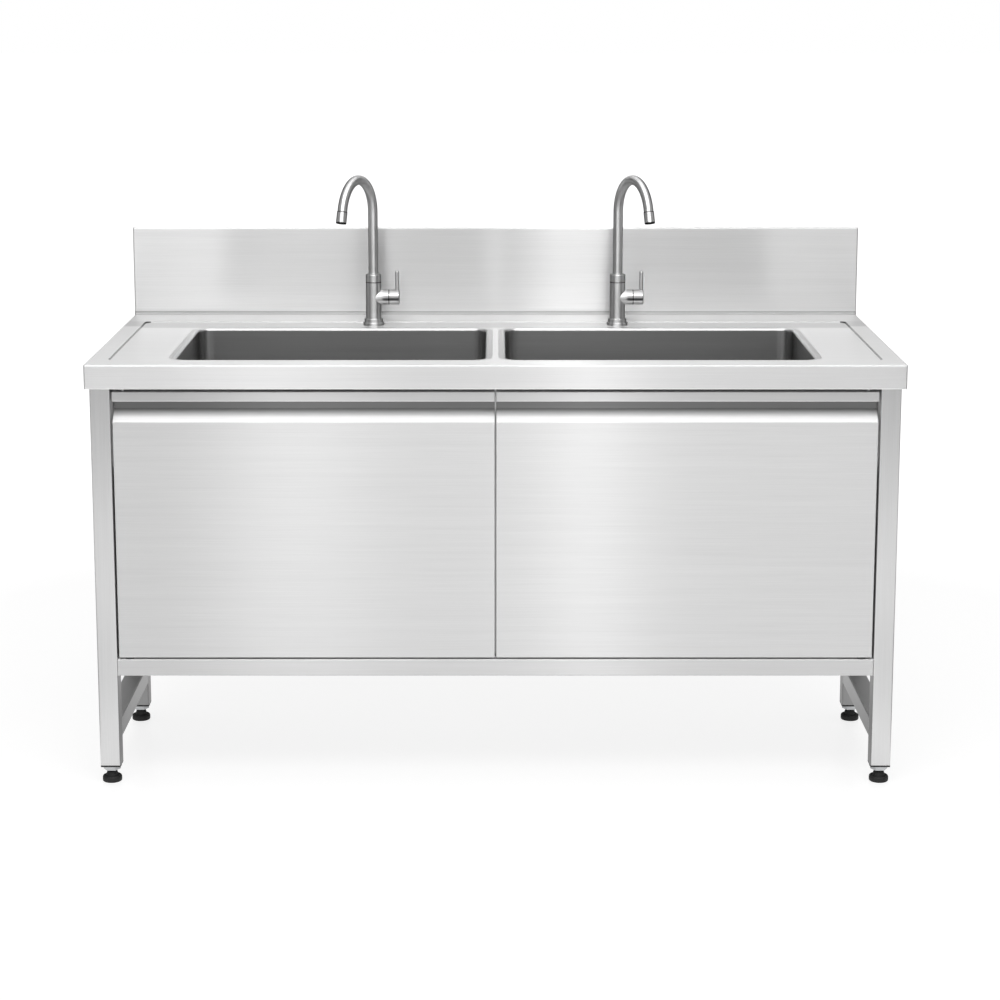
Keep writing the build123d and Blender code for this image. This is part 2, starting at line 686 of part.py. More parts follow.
def tap_body(side):
    """Base, column, side housing and threaded shank as one casting."""
    base = rod(0, 0, 0, TAP_BASE_LOWER, TAP_BASE)
    base = fillet(edges_at(base, TAP_BASE_LOWER), TAP_EDGE)
    step = rod(0, 0, TAP_BASE_LOWER - OVERCUT, TAP_BASE_HEIGHT, TAP_BASE_STEP)
    step = fillet(edges_at(step, TAP_BASE_HEIGHT), TAP_EDGE)
    column = rod(0, 0, 0, TAP_COLUMN_TOP, TAP_COLUMN)
    column = fillet(edges_at(column, TAP_COLUMN_TOP), TAP_EDGE / 2)
    housing = Pos(0, 0, VALVE_HEIGHT) * side_bar(0, VALVE_HOUSING_END, VALVE_HOUSING)
    body = base + step + column + housing
    body += rod(0, 0, -TAP_SHANK_LENGTH, 0, TAP_SHANK)
    socket_floor = TAP_COLUMN_TOP - NIPPLE_LENGTH - OVERCUT
    body -= rod(0, 0, socket_floor, TAP_COLUMN_TOP + OVERCUT, NIPPLE + 2 * NIPPLE_PLAY)
    body -= rod(0, 0, VALVE_HEIGHT, socket_floor + OVERCUT, WATERWAY)
    body -= Pos(0, 0, VALVE_HEIGHT) * side_bar(0, VALVE_BORE_START + OVERCUT, WATERWAY)
    chamber = side_bar(VALVE_BORE_START, VALVE_HOUSING_END + OVERCUT, VALVE_BORE)
    body -= Pos(0, 0, VALVE_HEIGHT) * chamber
    for x in (-INLET_SPACING / 2, INLET_SPACING / 2):
        inlet_top = INLET_DEPTH - TAP_SHANK_LENGTH
        body -= rod(x, 0, -TAP_SHANK_LENGTH - OVERCUT, inlet_top, INLET_THREAD)
    return at_tap(side) * body


def cartridge_end():
    """Outer face of the cartridge from the column's axis."""
    return VALVE_BORE_START + CARTRIDGE_LENGTH


def tap_cartridges():
    """Mixing cartridges inside the side housings."""
    width = VALVE_BORE - 2 * CARTRIDGE_PLAY
    plug = Pos(0, 0, VALVE_HEIGHT) * side_bar(VALVE_BORE_START, cartridge_end(), width)
    return Compound([at_tap(side) * plug for side in SIDES.values()])


def tap_selector(side):
    """Ring of the cartridge that turns with the handle."""
    start = cartridge_end() + PART_GAP
    sleeve = side_bar(start, start + SELECTOR_LENGTH, SELECTOR)
    sleeve -= side_bar(start - OVERCUT, start + SELECTOR_LENGTH + OVERCUT, SELECTOR_BORE)
    return at_tap(side) * Pos(0, 0, VALVE_HEIGHT) * sleeve


def cap_start():
    """Open side of the handle cap from the column's axis."""
    return VALVE_HOUSING_END + PART_GAP


def lever_x():
    """Lever's axis from the column's axis."""
    return cap_start() + CAP_LENGTH - LEVER_INSET


def tap_handle_cap(side):
    """Hollow cap with a square stem that reaches into the selector ring."""
    start = cap_start()
    end = start + CAP_LENGTH
    cap = side_bar(start, end, VALVE_HOUSING)
    cap = fillet(cap.edges().sort_by(Axis.X)[-1], CAP_EDGE)
    cap -= side_bar(start - OVERCUT, start + CAP_CAVITY_DEPTH, CAP_CAVITY)
    half = STEM / 2
    cap += block((start - STEM_REACH, -half, -half), (start + CAP_CAVITY_DEPTH + OVERCUT, half, half))
    cap -= rod(lever_x(), 0, LEVER_FOOT, VALVE_HOUSING, LEVER)
    return at_tap(side) * Pos(0, 0, VALVE_HEIGHT) * cap


def tap_lever(side):
    """Round-ended pin that stands in the handle cap."""
    pin = rod(lever_x(), 0, LEVER_FOOT, LEVER_TIP, LEVER)
    pin = fillet(edges_at(pin, LEVER_TIP), LEVER_ROUND)
    return at_tap(side) * Pos(0, 0, VALVE_HEIGHT) * pin


def spout_turn(side):
    """Rotation from straight right to the spout's own direction."""
    return Rot(0, 0, side * SPOUT_ANGLE - 90)


def spout_path(start):
    """Centre line of the spout in the plane of its bend."""
    rise = Line((0, start), (0, SPOUT_ARC_START))
    bend = JernArc((0, SPOUT_ARC_START), (0, 1), SPOUT_RADIUS, -SPOUT_TURN)
    tip = bend @ 1
    along = bend % 1
    drop = Line(tip, tip + along * SPOUT_STRAIGHT)
    return Plane.XZ * (rise + bend + drop)


def tap_collar(side):
    """Turning collar under the spout, with the nipple that sits in the column."""
    bottom = TAP_COLUMN_TOP + PART_GAP
    collar = rod(0, 0, bottom, COLLAR_TOP, TAP_COLUMN)
    collar = fillet(edges_at(collar, COLLAR_TOP), COLLAR_EDGE)
    collar += rod(0, 0, TAP_COLUMN_TOP - NIPPLE_LENGTH, bottom + OVERCUT, NIPPLE)
    seat = COLLAR_TOP - SPOUT_SEAT
    collar -= rod(0, 0, seat, COLLAR_TOP + OVERCUT, SPOUT_TUBE)
    collar -= rod(0, 0, 0, seat + OVERCUT, SPOUT_TUBE - 2 * SPOUT_WALL)
    return at_tap(side) * collar


def tap_spout(side):
    """Swan-neck tube."""
    start = COLLAR_TOP - SPOUT_SEAT
    path = spout_path(start)
    section = Circle(SPOUT_TUBE / 2) - Circle(SPOUT_TUBE / 2 - SPOUT_WALL)
    tube = sweep(Pos(0, 0, start) * section, path=path)
    return at_tap(side) * spout_turn(side) * tube


def tap_aerator(side):
    """Sleeve at the spout's tip with a perforated plate inside."""
    tip = SPOUT_TURN
    centre_x = SPOUT_RADIUS * (1 - cos(radians(tip))) + SPOUT_STRAIGHT * sin(radians(tip))
    centre_z = SPOUT_ARC_START + SPOUT_RADIUS * sin(radians(tip))
    centre_z += SPOUT_STRAIGHT * cos(radians(tip))
    low = AERATOR_OVERLAP - AERATOR_LENGTH
    sleeve = rod(0, 0, low, AERATOR_OVERLAP, AERATOR)
    sleeve = fillet(edges_at(sleeve, low), TAP_EDGE)
    sleeve -= rod(0, 0, 0, AERATOR_OVERLAP + OVERCUT, SPOUT_TUBE)
    sleeve -= rod(0, 0, low - OVERCUT, -AERATOR_PLATE, AERATOR_OUTLET)
    holes = PolarLocations(AERATOR_HOLE_CIRCLE / 2, AERATOR_HOLES)
    drill = rod(0, 0, -AERATOR_PLATE - OVERCUT, OVERCUT, AERATOR_HOLE)
    sleeve -= drill + [place * drill for place in holes]
    tilt = Pos(centre_x, 0, centre_z) * Rot(0, -(180 - tip), 0)
    return at_tap(side) * spout_turn(side) * tilt * sleeve


def tap_washers():
    """Flat washers under the worktop."""
    washer = ring(0, 0, -SHEET - WASHER_THICKNESS, -SHEET, WASHER, TAP_SHANK)
    return Compound([at_tap(side) * washer for side in SIDES.values()])


def tap_lock_nuts():
    """Hexagon nuts that clamp the taps to the worktop."""
    top = -SHEET - WASHER_THICKNESS
    bottom = top - TAP_NUT_HEIGHT
    nut = hexagon(0, 0, bottom, top, TAP_NUT_ACROSS_FLATS)
    nut -= rod(0, 0, bottom - OVERCUT, top + OVERCUT, TAP_SHANK)
    return Compound([at_tap(side) * nut for side in SIDES.values()])


# ------------------------------------------------------------------ drains
def drain_bodies():
    """Flanged drain cups with an outlet spigot, one in each bowl."""
    at = (DRAIN_X, DRAIN_Y)
    body = rod(*at, SEAT_FLOOR, SEAT_FLOOR + DRAIN_FLANGE_THICKNESS, DRAIN_FLANGE)
    body += rod(*at, SPIGOT_TOP, SEAT_FLOOR, DRAIN_CUP)
    body += rod(*at, SPIGOT_END, SPIGOT_TOP, SPIGOT)
    body -= rod(*at, CUP_FLOOR, BOWL_FLOOR, DRAIN_CUP - 2 * DRAIN_CUP_WALL)
    body -= rod(*at, SPIGOT_END - OVERCUT, CUP_FLOOR + OVERCUT, SPIGOT_BORE)
    return both_sides(body)


def drain_gaskets():
    """Rubber rings between the bowls and the drain nuts."""
    top = SEAT_FLOOR - SHEET
    return both_sides(ring(DRAIN_X, DRAIN_Y, top - GASKET_THICKNESS, top, GASKET, DRAIN_CUP))


def drain_lock_nuts():
    """Round nuts with lugs that clamp the drains."""
    top = SEAT_FLOOR - SHEET - GASKET_THICKNESS
    bottom = top - DRAIN_NUT_HEIGHT
    nut = rod(0, 0, bottom, top, DRAIN_NUT)
    reach = DRAIN_NUT / 2 + DRAIN_NUT_LUG / 2
    lug = block((0, -DRAIN_NUT_LUG / 2, bottom), (reach, DRAIN_NUT_LUG / 2, top))
    for index in range(DRAIN_NUT_LUGS):
        nut += Rot(0, 0, index * 360 / DRAIN_NUT_LUGS) * lug
    nut -= rod(0, 0, bottom - OVERCUT, top + OVERCUT, DRAIN_CUP)
    return both_sides(Pos(DRAIN_X, DRAIN_Y, 0) * nut)


def tailpieces():
    """Outlet pipes under the drains, each with a flange that its nut pulls up."""
    at = (DRAIN_X, DRAIN_Y)
    bottom = SPIGOT_END - TAIL_LENGTH
    flange_bottom = SPIGOT_END - TAIL_FLANGE_THICKNESS
    pipe = rod(*at, bottom, SPIGOT_END, TAIL)
    pipe += rod(*at, flange_bottom - TAIL_SHOULDER_LENGTH, flange_bottom, TAIL_SHOULDER)
    pipe += rod(*at, flange_bottom, SPIGOT_END, TAIL_FLANGE)
    pipe -= rod(*at, bottom - OVERCUT, SPIGOT_END + OVERCUT, TAIL - 2 * TAIL_WALL)
    return both_sides(pipe)


def tail_nuts():
    """Round union nuts that hold the tailpieces to the spigots."""
    at = (DRAIN_X, DRAIN_Y)
    ledge = SPIGOT_END - TAIL_FLANGE_THICKNESS
    bottom = ledge - TAIL_NUT_LIP
    top = bottom + TAIL_NUT_HEIGHT
    nut = rod(*at, bottom, top, TAIL_NUT)
    nut -= rod(*at, ledge, top + OVERCUT, SPIGOT)
    nut -= rod(*at, bottom - OVERCUT, ledge + OVERCUT, TAIL_SHOULDER + 2 * TAIL_PLAY)
    return both_sides(nut)


def basket(side):
    """Lift-out strainer with slots, holes and a knob."""
    floor = BASKET_LIFT
    cup = rod(0, 0, floor, floor + BASKET_HEIGHT, BASKET)
    rim_bottom = floor + BASKET_HEIGHT - BASKET_RIM_HEIGHT
    cup += rod(0, 0, rim_bottom, floor + BASKET_HEIGHT, BASKET_RIM)
    inner = BASKET - 2 * BASKET_WALL
    cup -= rod(0, 0, floor + BASKET_WALL, floor + BASKET_HEIGHT + OVERCUT, inner)
    half = BASKET_SLOT / 2
    slot = block(
        (BASKET / 2 - BASKET_WALL - OVERCUT, -half, floor + BASKET_SLOT_BOTTOM),
        (BASKET / 2 + OVERCUT, half, floor + BASKET_SLOT_TOP),
    )
    cup -= [Rot(0, 0, index * 360 / BASKET_SLOTS) * slot for index in range(BASKET_SLOTS)]
    for circle, count in zip(BASKET_HOLE_CIRCLES, BASKET_HOLE_COUNTS):
        drill = rod(circle / 2, 0, floor - OVERCUT, floor + BASKET_WALL + OVERCUT, BASKET_HOLE)
        cup -= [Rot(0, 0, index * 360 / count) * drill for index in range(count)]
    cup += rod(0, 0, 0, floor, BASKET_FOOT) - ring(0, 0, -OVERCUT, floor, BASKET_FOOT, BASKET_POST)
    cup += rod(0, 0, 0, floor + BASKET_KNOB_TOP, BASKET_POST)
    knob_bottom = floor + BASKET_KNOB_TOP - BASKET_KNOB_HEIGHT
    knob = rod(0, 0, knob_bottom, floor + BASKET_KNOB_TOP, BASKET_KNOB)
    cup += fillet(edges_at(knob, floor + BASKET_KNOB_TOP), TAP_EDGE)
    return on_side(Pos(DRAIN_X, DRAIN_Y, CUP_FLOOR) * cup, side)


# -------------------------------------------------------------------- feet
def leg_centres():
    """Plan centres of the four legs by name."""
    rows = {"front": LEG_FRONT, "rear": LEG_REAR}
    centres = {}
    for row, front_face in rows.items():
        for hand, side in SIDES.items():
            centres[f"{row}_{hand}"] = (side * LEG_CENTRE_X, front_face + TUBE / 2)
    return centres


def leg_inserts():
    """Plastic plugs in the leg ends, bored for the foot spindles."""
    rim = TUBE / 2
    plug = TUBE / 2 - TUBE_WALL - INSERT_PLAY
    top = LEG_BOTTOM + INSERT_PLUG
    inserts = []
    for x, y in leg_centres().values():
        insert = rounded_block((x - rim, y - rim, NUT_TOP), (x + rim, y + rim, LEG_BOTTOM), TUBE_CORNER)
        insert += block((x - plug, y - plug, LEG_BOTTOM), (x + plug, y + plug, top))
        insert -= rod(x, y, NUT_TOP - OVERCUT, top + OVERCUT, SPINDLE + 2 * SPINDLE_PLAY)
        inserts.append(insert)
    return Compound(inserts)


def foot_nuts():
    """Flanged hexagon nuts under the leg inserts."""
    nuts = []
    for x, y in leg_centres().values():
        nut = rod(x, y, NUT_TOP - FOOT_NUT_FLANGE, NUT_TOP, FOOT_NUT)
        nut += hexagon(x, y, NUT_BOTTOM, NUT_TOP - FOOT_NUT_FLANGE, FOOT_NUT_HEX)
        nut -= rod(x, y, NUT_BOTTOM - OVERCUT, NUT_TOP + OVERCUT, SPINDLE + 2 * SPINDLE_PLAY)
        nuts.append(nut)
    return Compound(nuts)


def foot_pad(x, y):
    """Round pad with a tapered neck, bored for the lower end of the spindle."""
    pad = rod(x, y, 0, PAD_HEIGHT, PAD)
    pad = fillet(edges_at(pad, PAD_HEIGHT), PAD_EDGE)
    neck = Cone(PAD / 2 - PAD_EDGE, PAD_NECK / 2, PAD_TOP - PAD_HEIGHT)
    pad += Pos(x, y, (PAD_HEIGHT + PAD_TOP) / 2) * neck
    return pad - rod(x, y, SPINDLE_SEAT, PAD_TOP + OVERCUT, SPINDLE)


def foot_spindle(x, y):
    """Threaded bar between the pad and the leg insert."""
    return rod(x, y, SPINDLE_SEAT, SPINDLE_TOP, SPINDLE)


# ------------------------------------------------------------ the whole unit
def model():
    """Every piece of the unit by node name."""
    nodes = {
        "worktop": worktop(),
        "front_top_rail": front_top_rail(),
        "side_top_rails": side_top_rails(),
        "rear_top_rail": rear_top_rail(),
        "lower_side_rails": lower_side_rails(),
        "bottom_shelf": bottom_shelf(),
        "shelf_stiffeners": shelf_stiffeners(),
        "back_panel": back_panel(),
        "centre_post": centre_post(),
        "magnet_catches": magnet_catches(),
        "door_buffers": door_buffers(),
        "hinge_bushes": hinge_bushes(),
        "tap_cartridges": tap_cartridges(),
        "tap_washers": tap_washers(),
        "tap_lock_nuts": tap_lock_nuts(),
        "drain_bodies": drain_bodies(),
        "drain_gaskets": drain_gaskets(),
        "drain_lock_nuts": drain_lock_nuts(),
        "tailpieces": tailpieces(),
        "tail_nuts": tail_nuts(),
        "leg_inserts": leg_inserts(),
        "foot_nuts": foot_nuts(),
    }
    for hand, side in SIDES.items():
        nodes[f"bowl_{hand}"] = bowl(side)
        nodes[f"leg_front_{hand}"] = leg(side, LEG_FRONT, FRAME_TOP)
        nodes[f"leg_rear_{hand}"] = leg(side, LEG_REAR, RAIL_BOTTOM)
        nodes[f"side_panel_{hand}"] = side_panel(side)
        nodes[f"door_{hand}_skin"] = door_skin(side)
        nodes[f"door_{hand}_liner"] = door_liner(side)
        nodes[f"door_{hand}_hinge_pins"] = Compound(list(door_hinge_pins(side)))
        nodes[f"tap_{hand}_body"] = tap_body(side)
        nodes[f"tap_{hand}_selector"] = tap_selector(side)
        nodes[f"tap_{hand}_handle_cap"] = tap_handle_cap(side)
        nodes[f"tap_{hand}_lever"] = tap_lever(side)
        nodes[f"tap_{hand}_collar"] = tap_collar(side)
        nodes[f"tap_{hand}_spout"] = tap_spout(side)
        nodes[f"tap_{hand}_aerator"] = tap_aerator(side)
        nodes[f"basket_{hand}"] = basket(side)
    for corner, (x, y) in leg_centres().items():
        nodes[f"foot_{corner}_pad"] = foot_pad(x, y)
        nodes[f"foot_{corner}_spindle"] = foot_spindle(x, y)
    return nodes


os.makedirs("parts", exist_ok=True)
for name, shape in model().items():
    export_step(shape, f"parts/{name}.step")
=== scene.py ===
"""Looks of the double-bowl sink unit: brushed sheet steel, chrome taps and black feet in a white studio."""
import math

import bmesh
import bpy
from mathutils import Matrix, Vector


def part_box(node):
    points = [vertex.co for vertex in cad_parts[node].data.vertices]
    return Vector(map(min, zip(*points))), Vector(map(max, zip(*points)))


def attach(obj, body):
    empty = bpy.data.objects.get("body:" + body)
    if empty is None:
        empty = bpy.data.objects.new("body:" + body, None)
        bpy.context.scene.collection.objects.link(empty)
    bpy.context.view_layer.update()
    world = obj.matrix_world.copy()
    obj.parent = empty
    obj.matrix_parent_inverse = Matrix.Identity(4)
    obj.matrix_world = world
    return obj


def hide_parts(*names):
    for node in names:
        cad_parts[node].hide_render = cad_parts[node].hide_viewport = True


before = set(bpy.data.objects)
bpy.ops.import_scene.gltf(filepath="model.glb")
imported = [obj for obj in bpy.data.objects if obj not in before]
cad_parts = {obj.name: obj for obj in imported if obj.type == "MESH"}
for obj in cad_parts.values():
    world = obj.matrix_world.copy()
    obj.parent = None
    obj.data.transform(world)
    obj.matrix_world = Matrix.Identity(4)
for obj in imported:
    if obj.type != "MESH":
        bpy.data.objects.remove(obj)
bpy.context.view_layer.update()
SCENE = bpy.context.scene
CORNERS = ("front_left", "front_right", "rear_left", "rear_right")


# ---------------------------------------------------------------- shader helpers

def add(tree, kind, values=None, **settings):
    """A shader node of that kind; values go to its sockets, by link where they are sockets themselves."""
    made = tree.nodes.new(kind)
    for key, value in settings.items():
        setattr(made, key, value)
    for key, value in (values or {}).items():
        socket = made.inputs[key]
        if isinstance(value, bpy.types.NodeSocket):
            tree.links.new(value, socket)
        else:
            socket.default_value = value
    return made


def maths(tree, operation, first, second=0.0):
    """One step of arithmetic."""
    return add(tree, "ShaderNodeMath", {0: first, 1: second}, operation=operation).outputs[0]


def product(tree, *values):
    """All the values multiplied."""
    made = values[0]
    for value in values[1:]:
        made = maths(tree, "MULTIPLY", made, value)
    return made


def total(tree, *values):
    """All the values added."""
    made = values[0]
    for value in values[1:]:
        made = maths(tree, "ADD", made, value)
    return made


def minus(tree, first, second):
    """The first value less the second."""
    return maths(tree, "SUBTRACT", first, second)


def greatest(tree, first, second):
    """The larger of two values."""
    return maths(tree, "MAXIMUM", first, second)


def unsigned(tree, value):
    """The value without its sign."""
    return maths(tree, "ABSOLUTE", value)


def below(tree, value, limit):
    """1 where the value is less than the limit, and 0 elsewhere."""
    return maths(tree, "LESS_THAN", value, limit)


def above(tree, value, limit):
    """1 where the value is more than the limit, and 0 elsewhere."""
    return maths(tree, "GREATER_THAN", value, limit)


def within(tree, value, middle, half):
    """1 where the value is nearer to the middle than half, and 0 elsewhere."""
    return below(tree, unsigned(tree, minus(tree, value, middle)), half)


def spread(tree, value, low, high, to_low, to_high, ends="LINEAR"):
    """Value stretched from one range to another, and held inside it."""
    return add(tree, "ShaderNodeMapRange",
               {"Value": value, "From Min": low, "From Max": high, "To Min": to_low, "To Max": to_high},
               interpolation_type=ends).outputs[0]


def eased(tree, value, low, high, to_low, to_high):
    """Spread with soft ends."""
    return spread(tree, value, low, high, to_low, to_high, "SMOOTHSTEP")


def vectors(tree, operation, first, second=(0.0, 0.0, 0.0)):
    """One step of vector arithmetic."""
    return add(tree, "ShaderNodeVectorMath", {0: first, 1: second}, operation=operation)


def blend(tree, factor, first, second):
    """The first value at factor 0 and the second at factor 1."""
    return add(tree, "ShaderNodeMix", {"Factor": factor, "A": first, "B": second}).outputs[0]


def vector_blend(tree, factor, first, second):
    """The first vector at factor 0 and the second at factor 1."""
    return add(tree, "ShaderNodeMix", {"Factor": factor, 4: first, 5: second}, data_type="VECTOR").outputs[1]


def apart(tree, vector):
    """The three parts of a vector."""
    return add(tree, "ShaderNodeSeparateXYZ", {0: vector}).outputs


def own_place(tree):
    """Places in the part's own frame, which ride along when it moves."""
    return add(tree, "ShaderNodeTexCoord").outputs["Object"]


def in_world(tree, direction):
    """A direction of the part's own frame, turned with the part."""
    return add(tree, "ShaderNodeVectorTransform", {"Vector": direction},
               vector_type="VECTOR", convert_from="OBJECT", convert_to="WORLD").outputs[0]


def noise(tree, place, scale, detail=3.0, roughness=0.55):
    """Cloudy noise from 0 to 1."""
    return add(tree, "ShaderNodeTexNoise",
               {"Vector": place, "Scale": scale, "Detail": detail, "Roughness": roughness}).outputs["Fac"]


def grey(level, warmth=0.0):
    """A grey; warmth makes it a little yellower, or bluer below zero."""
    return (level * (1 + warmth), level, level * (1 - warmth), 1.0)


def tint(tree, colour, amount):
    """A colour whose brightness is multiplied by amount."""
    even = add(tree, "ShaderNodeCombineColor", {0: amount, 1: amount, 2: amount}).outputs[0]
    return add(tree, "ShaderNodeMix", {"Factor": 1.0, 6: colour, 7: even},
               data_type="RGBA", blend_type="MULTIPLY").outputs[2]


def blank(name):
    """A new material with an empty tree, its output and its shader."""
    material = bpy.data.materials.new(name)
    material.use_nodes = True
    tree = material.node_tree
    tree.nodes.clear()
    shader = add(tree, "ShaderNodeBsdfPrincipled")
    add(tree, "ShaderNodeOutputMaterial", {"Surface": shader.outputs[0]})
    return material, tree, shader


# ---------------------------------------------------------------- kinds of finish

AXES = {"x": (1.0, 0.0, 0.0), "y": (0.0, 1.0, 0.0), "z": (0.0, 0.0, 1.0)}

EDGE = 0.0020           # reach of the softened normal along each bend and edge, and of the painted highlight there
EDGE_HIGHLIGHT = 0.85       # how much the painted highlight brightens the steel

BRUSH_FINE = 900.0      # brush lines to the metre, across them
BRUSH_LONG = 6.0        # and along them
BROAD_FINE = 99.0       # the same for the broader bands that the brush leaves
BROAD_LONG = 1.32
BRUSH_DEPTH = 0.00002
END_ON = 0.7            # a face whose normal lies this near to the brush lines is brushed the second way


def edge_light(tree):
    """The normal of softened edges, and the mask of their painted highlight: 1 along those edges falling to 0 on the
    faces.
    """
    soft = add(tree, "ShaderNodeBevel", {"Radius": EDGE}, samples=4).outputs[0]
    flat = add(tree, "ShaderNodeNewGeometry").outputs["Normal"]
    along = vectors(tree, "DOT_PRODUCT", soft, flat).outputs["Value"]
    return soft, spread(tree, along, 0.80, 0.99, 1.0, 0.0)


def brushed(name, grain, level, roughness, anisotropy, second="y", streak=0.035, shades=None):
    """Brushed steel. Its brush lines run along grain, and along second on faces that grain comes straight out of.
    The function shades gives the painted light and shade: how much brighter or darker the steel is from place to
    place."""
    material, tree, shader = blank(name)
    coordinates = add(tree, "ShaderNodeTexCoord")
    place, normal = coordinates.outputs["Object"], coordinates.outputs["Normal"]
    facing = vectors(tree, "DOT_PRODUCT", normal, AXES[grain]).outputs["Value"]
    end_on = above(tree, unsigned(tree, facing), END_ON)
    line = vector_blend(tree, end_on, AXES[grain], AXES[second])
    across = vectors(tree, "CROSS_PRODUCT", normal, line).outputs["Vector"]

    def stretched(wide, long):
        """Places drawn out along the brush lines."""
        sizes = [tuple(long if axis == way else wide for axis in "xyz") for way in (grain, second)]
        return vectors(tree, "MULTIPLY", place, vector_blend(tree, end_on, *sizes)).outputs["Vector"]

    lines = noise(tree, stretched(BRUSH_FINE, BRUSH_LONG), 1.0, 2.0, 0.6)
    broad = noise(tree, stretched(BROAD_FINE, BROAD_LONG), 1.0, 3.0, 0.6)
    patches = noise(tree, place, 5.0, 2.0, 0.5)
    soft, edge = edge_light(tree)

    # painted highlight along every bend and edge, added to the brush grain
    shade = total(tree, spread(tree, lines, 0.25, 0.75, 1.0 - streak, 1.0 + streak),
                  spread(tree, broad, 0.3, 0.7, -streak * 0.6, streak * 0.6), product(tree, edge, EDGE_HIGHLIGHT))
    if shades:
        shade = product(tree, shade, shades(tree, apart(tree, place), apart(tree, normal)))
    tree.links.new(tint(tree, grey(level), shade), shader.inputs["Base Color"])

    gloss = total(tree, spread(tree, broad, 0.3, 0.7, roughness, roughness * 1.06),
                  spread(tree, patches, 0.3, 0.7, 0.0, roughness * 0.05))
    tree.links.new(gloss, shader.inputs["Roughness"])

    height = total(tree, lines, product(tree, broad, 0.5))
    bump = add(tree, "ShaderNodeBump", {"Strength": 0.35, "Distance": BRUSH_DEPTH, "Height": height, "Normal": soft})
    tree.links.new(bump.outputs[0], shader.inputs["Normal"])
    tree.links.new(in_world(tree, across), shader.inputs["Tangent"])
    shader.inputs["Metallic"].default_value = 1.0
    shader.inputs["Anisotropic"].default_value = anisotropy
    return material


RING_PLACE = (0.25, 0.25, 6.0)      # places drawn together along the turned piece's upright axis
RING_GRAIN = 260.0
RING_DEPTH = 0.00001
HAZE_GRAIN = 35.0                   # clouds of finger marks on bare and plated metal


def turned(name, level, roughness, warmth=0.0):
    """Smooth metal as it leaves the lathe, die or plating bath."""
    material, tree, shader = blank(name)
    place = own_place(tree)
    rings = noise(tree, vectors(tree, "MULTIPLY", place, RING_PLACE).outputs["Vector"], RING_GRAIN, 2.0, 0.5)
    haze = noise(tree, place, HAZE_GRAIN, 3.0, 0.6)
    tree.links.new(tint(tree, grey(level, warmth), spread(tree, haze, 0.3, 0.7, 0.94, 1.04)),
                   shader.inputs["Base Color"])
    tree.links.new(total(tree, spread(tree, haze, 0.3, 0.7, roughness * 0.8, roughness * 1.1),
                         spread(tree, rings, 0.3, 0.7, -roughness * 0.1, roughness * 0.15)),
                   shader.inputs["Roughness"])
    bump = add(tree, "ShaderNodeBump", {"Strength": 0.25, "Distance": RING_DEPTH, "Height": rings})
    tree.links.new(bump.outputs[0], shader.inputs["Normal"])
    shader.inputs["Metallic"].default_value = 1.0
    return material


THREAD_PITCH = 0.0015
THREAD_DEPTH = 0.0009


def threaded(name, level, roughness, warmth=0.0):
    """Turned metal with a screw thread cut into it."""
    material = turned(name, level, roughness, warmth)
    tree = material.node_tree
    shader = next(node for node in tree.nodes if node.type == "BSDF_PRINCIPLED")
    bump = next(node for node in tree.nodes if node.type == "BUMP")
    ridge = maths(tree, "PINGPONG", apart(tree, own_place(tree))[2], THREAD_PITCH / 2)
    cut = add(tree, "ShaderNodeBump", {"Strength": 0.9, "Distance": THREAD_DEPTH,
                                       "Height": maths(tree, "DIVIDE", ridge, THREAD_PITCH / 2),
                                       "Normal": bump.outputs[0]})
    tree.links.new(cut.outputs[0], shader.inputs["Normal"])
    return material


PIT_GRAIN = 1400.0
PIT_DEPTH = 0.00006
SCUFF_GRAIN = 60.0
SCUFF_WEAR = 0.06       # how much paler the scuffs are


def moulded(name, colour, roughness):
    """Moulded plastic or rubber with a fine dull texture."""
    material, tree, shader = blank(name)
    place = own_place(tree)
    pits = noise(tree, place, PIT_GRAIN, 2.0, 0.6)
    scuffs = noise(tree, place, SCUFF_GRAIN, 4.0, 0.65)
    tree.links.new(tint(tree, colour, spread(tree, scuffs, 0.35, 0.75, 1.0 - SCUFF_WEAR, 1.0 + SCUFF_WEAR * 2.5)),
                   shader.inputs["Base Color"])
    tree.links.new(spread(tree, scuffs, 0.3, 0.7, roughness * 0.85, roughness * 1.15), shader.inputs["Roughness"])
    bump = add(tree, "ShaderNodeBump", {"Strength": 0.4, "Distance": PIT_DEPTH, "Height": pits})
    tree.links.new(bump.outputs[0], shader.inputs["Normal"])
    return material


# ---------------------------------------------------------------- worktop and bowls

TOP = 0.860
FIELD = 0.8565          # height of the recessed field
FIELD_SIDE = 0.761      # its half width
FIELD_REAR = 0.228      # its rear edge
BOWL_REAR = 0.155       # rear edge of the bowls' mouths
APRON_BACK = -0.347     # the apron's front face lies before it
APRON_BOTTOM = 0.812
UPSTAND_FOOT = 0.868
UPSTAND_TOP = 1.054
ROLL = 0.0062           # the rolled mouth of the bowls

BOWL_SHADED_LEVEL = 0.31       # painted shade: brightness of the bowls' steel, darker than the top
FLANGE_LEVEL = 0.66     # of the flanges round their mouths
ROLL_HIGHLIGHT = 1.15       # painted highlight: brightness of the rolls, against the flanges

REAR_SHADE = 0.24        # painted shade: how much darker the top is right behind the bowls
LEDGE_SHADE = 0.16       # and behind the field
# painted highlight along the apron's hem and the upstand's crest, painted shade in the crease and along the field's
# sides
HEM_AND_CREST_HIGHLIGHT = 0.35
CREASE_SHADE = 0.42
STEP_SHADE = 0.55
UPSTAND_REFLECTION_OFFSET = -0.04   # painted reflection: the upstand away from its two brighter bands, against the top


